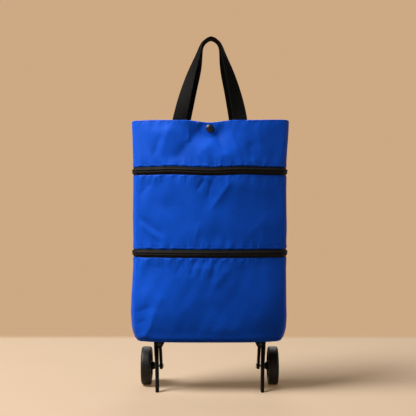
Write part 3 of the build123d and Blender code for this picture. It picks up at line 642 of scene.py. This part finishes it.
# Single folds seen on the cloth: ends across and up the panel, width and height, millimetres
CREASES = {
    ("upper", "front_panel"): (
        (-15, 70, -58, 18, 16.0, -4.6), (8, 46, -24, 16, 12.0, 1.4), (12, 60, 24, 26, 9.0, -1.6),
        (36, 66, 50, 24, 11.0, 2.0), (70, 40, 76, 14, 9.0, -2.2), (84, 68, 92, 20, 10.0, 1.6),
        (-89, 52, -99, 22, 8.0, -2.0), (-72, 70, -84, 30, 9.0, 1.6),
    ),
    ("upper", "back_panel"): (
        (14, 70, 56, 20, 12.0, -4.8), (-4, 58, 26, 18, 9.0, 2.2), (-30, 66, -52, 24, 9.0, -2.4),
        (-70, 64, -84, 24, 9.0, 2.0),
    ),
    ("middle", "front_panel"): (
        (40, 122, 4, 74, 9.0, 2.8), (-10, 124, -22, 104, 5.0, -2.0), (3, 120, -3, 92, 6.0, -2.0),
        (-126, 46, -90, 18, 7.0, 2.6), (-120, 54, -84, 28, 8.0, -2.0), (64, 20, 100, 56, 12.0, 0.9),
        (-30, 10, -18, 44, 8.0, 1.5), (-104, 118, -126, 96, 8.0, -1.0),
    ),
    ("middle", "back_panel"): (
        (-30, 124, -4, 66, 9.0, 2.2), (12, 122, 22, 100, 5.0, -1.8), (100, 40, 66, 12, 8.0, 2.2),
        (-120, 90, -84, 52, 9.0, -1.9),
    ),
    ("lower", "front_panel"): (
        (-124, 3, -105, 26, 8.0, 3.4), (-105, 26, -96, 54, 9.0, 2.8), (-96, 52, -84, 82, 12.0, 1.8),
        (-130, 53, -104, 62, 7.0, -1.8), (-127, 33, -112, 38, 6.0, -1.3), (122, 4, 96, 38, 8.0, -0.7),
        (-51, 144, -59, 121, 6.0, -1.5), (-26, 146, -34, 120, 7.0, -1.9), (-10, 145, -20, 112, 6.5, -1.4),
        (10, 144, 3, 113, 7.0, -1.9), (24, 143, 20, 128, 5.0, -1.3), (42, 136, 6, 100, 11.0, 1.7),
    ),
    ("lower", "back_panel"): (
        (124, 4, 104, 28, 8.0, 3.0), (104, 28, 94, 56, 9.0, 2.4), (-126, 6, -100, 36, 7.0, -2.0),
        (46, 142, 36, 116, 5.0, -2.0), (18, 143, 10, 118, 5.0, -2.0), (-8, 144, -14, 124, 4.5, -1.8),
    ),
}
# Rows of stitches from the edge of their panel: above a zip, below a zip, at the rim and at the bottom
TOP_STITCH = 6.3
LOW_STITCH = 3.0
RIM_STITCH = 2.8
FOOT_STITCH = 3.0
# Radii of the cloth where it rolls in over its edges: sides, bottom, above a zip, below a zip, rim
SIDE_ROLL = 1.5
FOOT_ROLL = 1.2
TOP_ROLL = 1.1
LOW_ROLL = 0.55
RIM_ROLL = 0.8


def creases_and_hems(section, face, across, up, away_low, away_high, away_side):
    """Distance that the finished cloth stands off its plain wall."""
    seed = f"{section} {face}"
    rng = random.Random(seed)
    half = float(np.max(np.abs(across)))
    narrow = "gusset" in face
    strength = 0.6 if narrow else 1.0
    edge = np.minimum(away_low, away_high)
    loose = math.prod(soft_step(away, 1.0, 22.0) for away in (away_side, away_low, away_high))
    beside = soft_step(away_side, 0.0, 9.0)
    if face == "front_panel":
        # The front is calmer towards its right
        loose = loose * (1 - 0.5 * soft_step(across, 10.0, 90.0))
        beside = beside * (1 - 0.4 * soft_step(across, 30.0, 100.0))
    total = slack(across, up, seed + " broad", 84.0, 0.75 * strength) * loose
    total += slack(across, up, seed + " small", 32.0, 0.2 * strength) * loose
    total += puckered(rng, across, away_high, half, strength * (0.7 if section == "upper" else 1.0)) * beside
    if section != "lower":
        total += puckered(rng, across, away_low, half, strength) * beside
    sewn = soft_step(away_side, 0.0, 12.0) * soft_step(edge, 0.0, 9.0)
    total += creased(across, up, CREASES.get((section, face), ())) * sewn
    if narrow:
        total += -2.6 * np.exp(-np.abs(across) / 5.0) * soft_step(edge, 0.0, 26.0)
    if section == "upper" and not narrow:
        # Calm under the press stud, and no deeper than the straps that lie behind the wall
        from_stud = np.hypot(across, up - (STUD_Z - BASE["upper"]))
        total *= soft_step(from_stud, 8.0, 16.0)
        beside_strap = np.abs(np.abs(across) - FRONT_SPREAD)
        behind = soft_step(up, 43.0, 50.0) * (1 - soft_step(beside_strap, 13.0, 21.0))
        total = np.where(total < -0.15, -0.15 * behind + total * (1 - behind), total)
    total += turned_in(away_side, SIDE_ROLL)
    if section == "lower":
        total += turned_in(away_low, FOOT_ROLL)
    else:
        total += turned_in(away_low, TOP_ROLL) + stitched(away_low, TOP_STITCH)
    roll, line = (RIM_ROLL, RIM_STITCH) if section == "upper" else (LOW_ROLL, LOW_STITCH)
    return total + (turned_in(away_high, roll) + stitched(away_high, line))


def make_grid(points, uv, layers=None, closed=False, caps=False):
    """Grid of quads bent onto rows and columns of points in millimetres, with its UV map in metres."""
    rows, columns = points.shape[:2]
    bm = bmesh.new()
    bmesh.ops.create_grid(bm, x_segments=columns - 1, y_segments=rows - 1, size=1.0)
    bm.verts.ensure_lookup_table()
    place = points.reshape(-1, 3) * MM
    place[:, 1] += BAG_Y * MM
    flat = uv.reshape(-1, 2) * MM
    extra = []
    for key, value in (layers or {}).items():
        extra.append((bm.verts.layers.float.new(key), value.reshape(-1)))
    for vert in bm.verts:
        vert.co = place[vert.index]
        for layer, value in extra:
            vert[layer] = float(value[vert.index])
    uv_layer = bm.loops.layers.uv.new("UVMap")
    for face in bm.faces:
        for loop in face.loops:
            loop[uv_layer].uv = flat[loop.vert.index]
    if closed:
        bmesh.ops.remove_doubles(bm, verts=bm.verts, dist=SEAM_WELD)
    if caps:
        bmesh.ops.holes_fill(bm, edges=[edge for edge in bm.edges if edge.is_boundary])
    bm.normal_update()
    return bm


def face_outwards(bm):
    """Turn an open sheet so that its faces look away from the middle of the bag."""
    facing = 0.0
    for face in bm.faces:
        centre = face.calc_center_median()
        facing += face.normal.x * centre.x + face.normal.y * (centre.y - BAG_Y * MM)
    if facing < 0:
        bmesh.ops.reverse_faces(bm, faces=bm.faces)


def linked(name, data):
    """New object in the scene."""
    item = bpy.data.objects.new(name, data)
    bpy.context.scene.collection.objects.link(item)
    return item


def add_piece(name, bm, materials, body=None, nodes=()):
    """Object from a bmesh, riding on a body and standing for nodes of the frame."""
    mesh = bpy.data.meshes.new(name)
    bm.to_mesh(mesh)
    bm.free()
    mesh.polygons.foreach_set("use_smooth", [True] * len(mesh.polygons))
    for material in materials:
        mesh.materials.append(material)
    piece = linked(name, mesh)
    if body:
        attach(piece, body)
    if nodes:
        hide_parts(*nodes)
    return piece


def thicken(piece, thickness, inner_slot=0, centred=False):
    """Give a sheet its wall: behind its face, or to both sides where it is tightly folded."""
    solid = piece.modifiers.new("wall", "SOLIDIFY")
    solid.thickness = thickness * MM
    solid.offset = 0.0 if centred else -1.0
    solid.use_even_offset = not centred
    solid.material_offset = inner_slot


def cloth_piece(node, bm, body, thickness=FABRIC, centred=False):
    """Lined cloth that stands for one node."""
    piece = add_piece(node + "_cloth", bm, (cloth, lining), body, (node,))
    thicken(piece, thickness, 1, centred)
    return piece


class Panel:
    """One sewn panel: its finished surface, and points on it by column and height."""

    def __init__(self, section, face, low=0.0):
        self.section = section
        self.face = face
        self.low = low
        self.high = LEVELS[section][-1][0]
        self.half = GUSSET_HALF if "gusset" in face else PANEL_HALF

    def surface(self, heights, columns):
        """Points at heights and columns, with the depth of their folds as painted shade, darker still at the
        seams, and their wear as edges.
        """
        plain = wall(self.section, self.face, heights, columns / self.half)
        outward = outward_of(plain)
        across, up = np.meshgrid(columns, heights)
        away_low = up - self.low
        away_high = self.high - up
        away_side = self.half - np.abs(across)
        off = creases_and_hems(self.section, self.face, across, up, away_low, away_high, away_side)
        sewn = np.minimum(away_low, away_high)
        edge = np.exp(-np.minimum(sewn, away_side) / 3.0)
        # Painted shade: colour follows the fold depth, with a dark line painted along each sewn edge
        fold_shade = off - 2.2 * hump(sewn, 0.0, 1.3)
        return settled(plain + outward * off[..., None]), fold_shade, edge

    def build(self):
        """Sheet of cloth with its wall."""
        across_step, up_step = CLOTH_STEP
        columns = stations(-self.half, self.half, across_step)
        heights = stations(self.low, self.high, up_step)
        points, fold_shade, edge = self.surface(heights, columns)
        uv = np.stack(np.meshgrid(columns, heights), axis=2)
        # This layer carries the painted shade of folds and seams into the cloth's colour
        bm = make_grid(points, uv, {"fold_shade": fold_shade, "edge": edge})
        face_outwards(bm)
        piece = cloth_piece(f"{self.section}_{self.face}", bm, f"{self.section}_bag")


panels = {}
for section in LEVELS:
    for face in FACES:
        panels[section, face] = Panel(section, face, BOTTOM_CUT if section == "lower" else 0.0)
        panels[section, face].build()


def repeated(shape, places, batch=40, **settings):
    """Copies of a small shape at many places, made in batches."""
    whole = bmesh.new()
    for start in range(0, len(places), batch):
        part = bmesh.new()
        for place in places[start:start + batch]:
            shape(part, matrix=place, **settings)
        mesh = bpy.data.meshes.new("batch")
        part.to_mesh(mesh)
        part.free()
        whole.from_mesh(mesh)
        bpy.data.meshes.remove(mesh)
    return whole


def placed(centre, axes, size):
    """Matrix that puts a unit shape at a point, turned to three axes, at its size."""
    turn = Matrix(axes).transposed().to_4x4()
    return Matrix.Translation(centre * MM) @ turn @ Matrix.Scale(MM, 4) @ Matrix.Diagonal((*size, 1.0))


STITCH_LONG = 2.5
STITCH_GAP = 1.1
STITCH_THICK = 0.42
STITCH_RISE = 0.12  # middle of the thread above the cloth


def stitch_places(points, outward):
    """Places of a row of stitches along a line of points."""
    run = run_along(points)
    pitch = STITCH_LONG + STITCH_GAP
    count = int(run[-1] // pitch)
    margin = (run[-1] - count * pitch + STITCH_GAP) / 2
    half = STITCH_LONG / 2
    places = []
    for index in range(count):
        middle = margin + index * pitch + half
        start = Vector(points_at(middle - half, run, points))
        end = Vector(points_at(middle + half, run, points))
        facing = Vector(points_at(middle, run, outward)).normalized()
        along = (end - start).normalized()
        beside = facing.cross(along).normalized()
        facing = along.cross(beside)
        centre = (start + end) / 2 + facing * STITCH_RISE
        centre.y += BAG_Y
        places.append(placed(centre, (along, beside, facing), (half, STITCH_THICK, STITCH_THICK * 0.75)))
    return places


def stitching(section, rows):
    """All rows of stitches on one section, at distances up from its base."""
    places = []
    for up in rows:
        for face in FACES:
            panel = panels[section, face]
            ends = panel.half - 2.0
            columns = np.linspace(-ends, ends, 240)
            heights = np.array([up - 0.5, up, up + 0.5])
            points, _, _ = panel.surface(heights, columns)
            places += stitch_places(points[1], outward_of(points)[1])
    bm = repeated(bmesh.ops.create_uvsphere, places, u_segments=6, v_segments=4, radius=1.0)
    add_piece(f"{section}_stitching", bm, (thread,), f"{section}_bag")


stitching("lower", (LEVELS["lower"][-1][0] - LOW_STITCH, BOTTOM_CUT + FOOT_STITCH))
stitching("middle", (TOP_STITCH, LEVELS["middle"][-1][0] - LOW_STITCH))
stitching("upper", (TOP_STITCH, LEVELS["upper"][-1][0] - RIM_STITCH))


BOTTOM_MESH = 90  # points along each side of the grid
BOTTOM_FLAT = 0.86  # share of the bottom that lies flat
BOTTOM_REACH = 50.0  # middle to edge


def bottom_panel():
    """Bottom of the bag, turned up round its edge to meet the walls."""
    spread = np.linspace(-1.0, 1.0, BOTTOM_MESH)
    u, v = np.meshgrid(spread, spread)
    ring = np.maximum(np.abs(u), np.abs(v))
    # Each square ring of the grid becomes one ring of the plan
    at = np.clip((ring - BOTTOM_FLAT) / (1 - BOTTOM_FLAT), 0.0, 1.0) * BOTTOM_CUT
    x = np.zeros_like(u)
    y = np.zeros_like(u)
    for share in np.unique(np.round(ring, 6)):
        here = np.abs(ring - share) < 1e-5
        inner = min(share / BOTTOM_FLAT, 1.0)
        height = at[here][:1]
        long_side = here & (np.abs(v) >= np.abs(u))
        short_side = here & ~long_side
        points = wall("lower", "back_panel", height, u[long_side] / share)[0] * inner
        x[long_side] = points[:, 0]
        y[long_side] = np.copysign(points[:, 1], v[long_side])
        points = wall("lower", "right_gusset", height, v[short_side] / share)[0] * inner
        x[short_side] = np.copysign(points[:, 0], u[short_side])
        y[short_side] = points[:, 1]
    away = (1 - ring) * BOTTOM_REACH
    off = turned_in(away, FOOT_ROLL) - 0.3 * hump(away, 0.0, 6.0)
    z = BASE["lower"] + at - off * 0.6
    points = settled(np.stack([x, y, z], axis=2))
    uv = np.stack([x, y], axis=2)
    # Painted shade: the rolled edge of the bottom is coloured darker, from the same offset that shapes it
    bm = make_grid(points, uv, {"fold_shade": off, "edge": np.exp(-(1 - ring) * 16)})
    if sum(face.normal.z for face in bm.faces) > 0:
        bmesh.ops.reverse_faces(bm, faces=bm.faces)
    area = sum(face.calc_area() for face in bm.faces)
    piece = cloth_piece("bottom_panel", bm, "lower_bag")


bottom_panel()

PLAN_POINTS = 480
PLAN_SMOOTH = 8  # points to each side


def zip_line():
    """Closed plan of the bag at a zip, rounded at its seams, with outward directions."""
    level = LEVELS["middle"][0]
    fx, fy = face_line(level, np.linspace(-1.0, 1.0, 300))
    sx, sy = side_line(level, np.linspace(-1.0, 1.0, 90))
    line = np.concatenate([
        np.stack([fx, -fy], 1), np.stack([sx, sy], 1)[1:],
        np.stack([fx, fy], 1)[::-1][1:], np.stack([-sx, sy], 1)[::-1][1:],
    ])
    run = run_along(line)
    at = np.arange(PLAN_POINTS) * run[-1] / PLAN_POINTS
    line = points_at(at, run, line)
    shifts = np.arange(-PLAN_SMOOTH, PLAN_SMOOTH + 1)
    weights = hump(shifts, 0.0, 2.4)
    weights /= weights.sum()
    line = sum(weight * np.roll(line, shift, axis=0) for weight, shift in zip(weights, shifts))
    tangent = unit(np.roll(line, -1, axis=0) - np.roll(line, 1, axis=0))
    return line, np.stack([tangent[:, 1], -tangent[:, 0]], 1), run[-1]


PLAN, PLAN_OUT, PLAN_ROUND = zip_line()


def round_the_bag(profile, middle, ripple=None):
    """Band swept round the bag from a profile of heights and distances outside the plan."""
    order = np.append(np.arange(len(PLAN)), 0)
    profile = np.array(profile)
    out = np.repeat(profile[:, 1][:, None], len(order), axis=1)
    if ripple is not None:
        out += ripple[:, order]
    xy = PLAN[order][None] + PLAN_OUT[order][None] * out[..., None]
    z = np.repeat((middle + profile[:, 0])[:, None], len(order), axis=1)
    points = np.concatenate([xy, z[..., None]], axis=2)
    if ripple is None:
        points = settled(points)
    run = np.linspace(0.0, PLAN_ROUND, len(order))
    bm = make_grid(points, np.stack(np.meshgrid(run, run_along(profile)), axis=2), closed=True)
    face_outwards(bm)
    return bm


def rounded(profile, count):
    """Smooth profile through its points."""
    profile = np.array(profile)
    return spline_through(profile, unit(profile[1] - profile[0]), unit(profile[-1] - profile[-2]), count)


# Profiles of one half of a zip: height from its middle, distance outside the plan
TAPE_PROFILE = ((8.6, -1.9), (7.4, -1.5), (6.4, -0.7), (5.2, -0.25), (4.3, -0.1), (3.6, -0.5))
LIP_PROFILE = (
    (4.5, -0.4), (4.1, 0.7), (3.3, 1.75), (2.2, 2.35), (1.2, 2.25), (0.65, 1.5), (0.5, 0.2), (0.6, -1.3),
)
LOWER_LIP = 0.8  # lower lip stands out less
TAPE_WALL = 0.45
TEETH = 340  # in one row round the bag
TOOTH = (0.85, 1.5, 1.5)  # along the zip, outwards and up
TOOTH_OUT = 0.75  # middle of a tooth outside the plan
TOOTH_UP = 0.45  # and above or below the middle of the zip
TOOTH_BEVEL = 0.00022  # metres


def tooth_places(middle, sign, shift):
    """Places of one row of teeth round the bag."""
    places = []
    for index in range(TEETH):
        at = (index + shift) * len(PLAN) / TEETH
        low = int(at) % len(PLAN)
        place = PLAN[low] + (PLAN[(low + 1) % len(PLAN)] - PLAN[low]) * (at - int(at))
        out = PLAN_OUT[low]
        x, y = place + out * TOOTH_OUT
        centre = Vector((x, y + BAG_Y, middle + sign * TOOTH_UP + float(zip_wave(x, y, middle))))
        axes = (-out[1], out[0], 0.0), (out[0], out[1], 0.0), (0.0, 0.0, 1.0)
        places.append(placed(centre, axes, TOOTH))
    return places


def zip_half(name, half, body):
    """Tape and folded lip of one half of a zip, with its row of coil teeth."""
    sign = 1.0 if half == "upper" else -1.0
    middle = ZIP_Z[name]
    label = f"{name}_zip_{half}_"
    bands = ("woven_tape", "tape", TAPE_PROFILE, 14), ("lip", "teeth", LIP_PROFILE, 22)
    for part, node, profile, count in bands:
        line = rounded(profile, count) * (sign, 1.0)
        if part == "lip" and half == "lower":
            line[:, 1] *= np.where(line[:, 1] > 0, LOWER_LIP, 1.0)
        bm = round_the_bag(line, middle)
        piece = add_piece(label + part, bm, (zip_tape,), body, (label + node,))
        thicken(piece, TAPE_WALL)
    # The teeth of one half stand between those of the other
    places = tooth_places(middle, sign, 0.5 if half == "upper" else 0.0)
    bm = repeated(bmesh.ops.create_cube, places, size=1.0)
    bmesh.ops.bevel(
        bm, geom=list(bm.edges), offset=TOOTH_BEVEL, offset_type="OFFSET", segments=1, profile=0.5,
        affect="EDGES", material=-1,
    )
    add_piece(label + "coil", bm, (zip_teeth,), body)


ZIPS = (("lower", "lower_bag", "middle_bag"), ("upper", "middle_bag", "upper_bag"))
for name, below, above in ZIPS:
    zip_half(name, "lower", below)
    zip_half(name, "upper", above)

PLEAT_PROFILE = (
    (-6.4, -2.3), (-4.6, -2.6), (-3.6, -8.6), (-1.9, -3.4), (0.0, -8.9),
    (1.9, -3.4), (3.6, -8.6), (4.6, -2.6), (6.4, -2.3),
)
PLEAT_WALL = 0.35
RIPPLES = ((9, 0.3), (14, -0.5), (23, 0.4))  # waves round the bag, and their lean
RIPPLE = 0.35


def pleat(name):
    """Folded cloth behind a zip, which on the bag opens out when the zip is undone; here it is made folded
    and fixed.
    """
    knots = np.array(PLEAT_PROFILE)
    last = len(knots) - 1
    profile = points_at(np.linspace(0, last, 5 * last + 1), np.arange(last + 1), knots)
    for _ in range(2):
        profile[1:-1] = 0.25 * profile[:-2] + 0.5 * profile[1:-1] + 0.25 * profile[2:]
    turn = np.arange(len(PLAN)) * 2 * math.pi / len(PLAN)
    along, up = np.meshgrid(turn, profile[:, 0])
    ripple = sum(np.sin(count * along + up * lean + count) for count, lean in RIPPLES)
    ripple *= RIPPLE * soft_step(PLEAT_PROFILE[-1][0] - np.abs(up), 0.0, 3.0)
    bm = round_the_bag(profile, ZIP_Z[name], ripple)
    piece = cloth_piece(f"{name}_pleat", bm, None, PLEAT_WALL, centred=True)
    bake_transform(piece)


for name, below, above in ZIPS:
    pleat(name)


def webbing_section():
    """Closed cross-section of the webbing: flat faces with rounded edges."""
    half = WEBBING_WIDTH / 2
    edge = WEBBING / 2
    flat = np.linspace(-half + edge, half - edge, 19)
    bend = np.radians(np.linspace(-90, 90, 7)[1:-1])
    section = [(x, edge) for x in flat]
    section += [(half - edge + edge * math.cos(a), edge * math.sin(a)) for a in -bend]
    section += [(x, -edge) for x in flat[::-1]]
    section += [(-half + edge - edge * math.cos(a), edge * math.sin(a)) for a in bend]
    section.append(section[0])
    return np.array(section)


def sewn_rows(section, spread):
    """Rows of a strap's end that is sewn down inside the wall, and their run up to the bend line."""
    run = np.linspace(-TAB_LENGTH - HINGE_RISE, -1.0, 20)
    heights = np.minimum(run + BEND_Z - BASE["upper"], LEVELS["upper"][-1][0])
    order = np.argsort(section[:, 0])
    corner = HALF_WIDTH - SEAM_INSET
    rows = np.zeros((len(run), len(section), 3))
    rows[:, order] = wall("upper", "front_panel", heights, (-spread - section[order, 0]) / corner)
    rows[..., 0] = -spread - section[:, 0]
    rows[..., 1] += PANEL_WALL + SEWN_FIT + WEBBING / 2 - section[:, 1]
    rows[..., 2] = run[:, None]
    return rows, run


def loose_rows(section, path, base_y, slope, last_sewn):
    """Rows of the free strap, which turns from flat to edge-on towards its crown, and their run."""
    length = run_along(path)
    tangent = unit(np.gradient(path, axis=0))
    bent = last_sewn[:, 1] - (base_y - section[:, 1])
    rows = []
    for point, along, run in zip(path, tangent, length):
        here = np.array((point[0], base_y + slope * point[1], point[1]))
        forward = unit(np.array((along[0], slope * along[1], along[1])))
        outward = np.array((-along[1], 0.0, along[0]))
        twist = math.radians(90) * (run / length[-1]) ** STRAP_TWIST
        face = np.array((0.0, -1.0, 0.0)) * math.cos(twist) + outward * math.sin(twist)
        across = unit(np.cross(face, forward))
        face = np.cross(forward, across)
        row = here + section[:, :1] * across + section[:, 1:] * face
        row[:, 1] += (1.0 - float(soft_step(run, 0.0, STRAP_HOLD))) * bent
        rows.append(row)
    return np.array(rows), length


def strap(name, spread, rise, facing, strap_line):
    """Webbing handle: sewn down inside the wall, flat at the rim and edge-on at its crown."""
    rim_y = float(arc_y(spread, HALF_DEPTH + LEVELS["upper"][-1][2]))
    base_y = -(rim_y - PANEL_WALL - SEWN_FIT - WEBBING / 2)
    slope = (-base_y - WEBBING_WIDTH / 2 - HANDLE_GAP / 2) / rise
    knots = [(across * spread, up * rise) for across, up in strap_line]
    path = spline_through(knots, STRAP_LEAN, (1, 0), 64)
    section = webbing_section()
    sewn, sewn_run = sewn_rows(section, spread)
    loose, loose_run = loose_rows(section, path, base_y, slope, sewn[-1])
    rows = np.concatenate([sewn, loose])
    runs = np.concatenate([sewn_run, loose_run])
    mirrored = rows[:-1][::-1].copy()
    mirrored[..., 0] *= -1
    points = np.concatenate([rows, mirrored])
    runs = np.concatenate([runs, 2 * runs[-1] - runs[:-1][::-1]])
    points[..., 0] += STRAP_SWAY * np.clip(points[..., 2] / rise, 0.0, None) ** SWAY_POWER
    points[..., 2] += BEND_Z
    if facing > 0:
        points[..., 1] *= -1
    uv = np.stack(np.meshgrid(run_along(section), runs), axis=2)
    bm = make_grid(points, uv, closed=True, caps=True)
    bmesh.ops.recalc_face_normals(bm, faces=bm.faces)
    nodes = (f"{name}_handle", f"{name}_handle_tabs")
    piece = add_piece(f"{name}_strap", bm, (webbing,), None, nodes)
    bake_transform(piece)


strap("front", FRONT_SPREAD, HANDLE_RISE, -1, FRONT_LINE)
strap("rear", REAR_SPREAD, HANDLE_RISE + REAR_EXTRA, 1, REAR_LINE)

# Finish of the solids that show, by the ends of their nodes' names
NODE_FINISH = (
    (board, ("base_board",)),
    (black_metal, ("stud_front_cap", "stud_socket", "stud_post", "stud_rear_cap")),
    (black_metal, ("zip_slider", "zip_pull", "hinge_pin")),
    (plastic, ("hinge_bracket", "wheel_arm", "wheel_rim", "wheel_cap")),
    (steel, ("hinge_clip", "bracket_rivets", "wheel_axle", "axle_clip")),
    (nylon, ("hinge_washers", "wheel_bush")),
    (rubber, ("wheel_tyre",)),
)
for node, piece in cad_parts.items():
    for finish, ends in NODE_FINISH:
        if node.endswith(ends):
            for slot in piece.material_slots:
                slot.material = finish

# Studio, metres
FLOOR_HALF = 4.0
WARM = (1.0, 0.97, 0.93)
# Lamps: place, target, size, power and colour
LAMPS = {
    "key_light": ((-2.06, -0.92, 2.98), (0.0, 0.0, 0.3), 2.0, 326.0, WARM),
    "fill_light": ((1.6, -2.2, 0.9), (0.0, 0.0, 0.25), 1.6, 4.2, (0.9, 0.93, 1.0)),
    "back_light": ((0.1, 2.3, 2.1), (0.0, 0.0, 0.3), 1.3, 30.0, WARM),
    "side_light": ((2.4, 0.25, 0.9), (0.0, 0.0, 0.3), 1.2, 10.0, (0.88, 0.94, 1.0)),
}


def floor():
    """Pale floor that ends in front of the backdrop."""
    bm = bmesh.new()
    bmesh.ops.create_grid(bm, x_segments=1, y_segments=1, size=FLOOR_HALF)
    bmesh.ops.translate(bm, verts=bm.verts, vec=(0.0, FLOOR_BACK - FLOOR_HALF, 0.0))
    mesh = bpy.data.meshes.new("studio_floor")
    bm.to_mesh(mesh)
    bm.free()
    mesh.materials.append(floor_material(
        "pale_floor", base=rgb(0.408, 0.325, 0.243), deep=rgb(0.393, 0.31, 0.228),
        glow=rgb(0.5, 0.27, 0.11), bounce=rgb(0.1, 0.07, 0.05),
    ))
    ground = linked("studio_floor", mesh)


def lamp(name, place, target, size, power, colour):
    """Round soft light that looks at a target."""
    light = bpy.data.lights.new(name, "AREA")
    light.shape = "DISK"
    light.size = size
    light.energy = power
    light.color = colour
    holder = linked(name, light)
    holder.location = place
    holder.rotation_euler = (Vector(target) - Vector(place)).to_track_quat("-Z", "Y").to_euler()


def camera():
    """Level camera where the photograph was taken."""
    lens = bpy.data.cameras.new("photo_camera")
    lens.lens = 72.09
    lens.sensor_width = 36.0
    lens.clip_end = 50.0
    holder = linked("photo_camera", lens)
    holder.location = (-0.00325, -1.514, 0.327)
    holder.rotation_euler = (math.radians(90), 0.0, 0.0)
    bpy.context.scene.camera = holder


floor()
for name, settings in LAMPS.items():
    lamp(name, *settings)
bpy.context.scene.world = backdrop_world("studio_air", air=rgb(1.0, 0.76, 0.55), strength=0.12)
camera()
bpy.context.scene.view_settings.view_transform = "Standard"
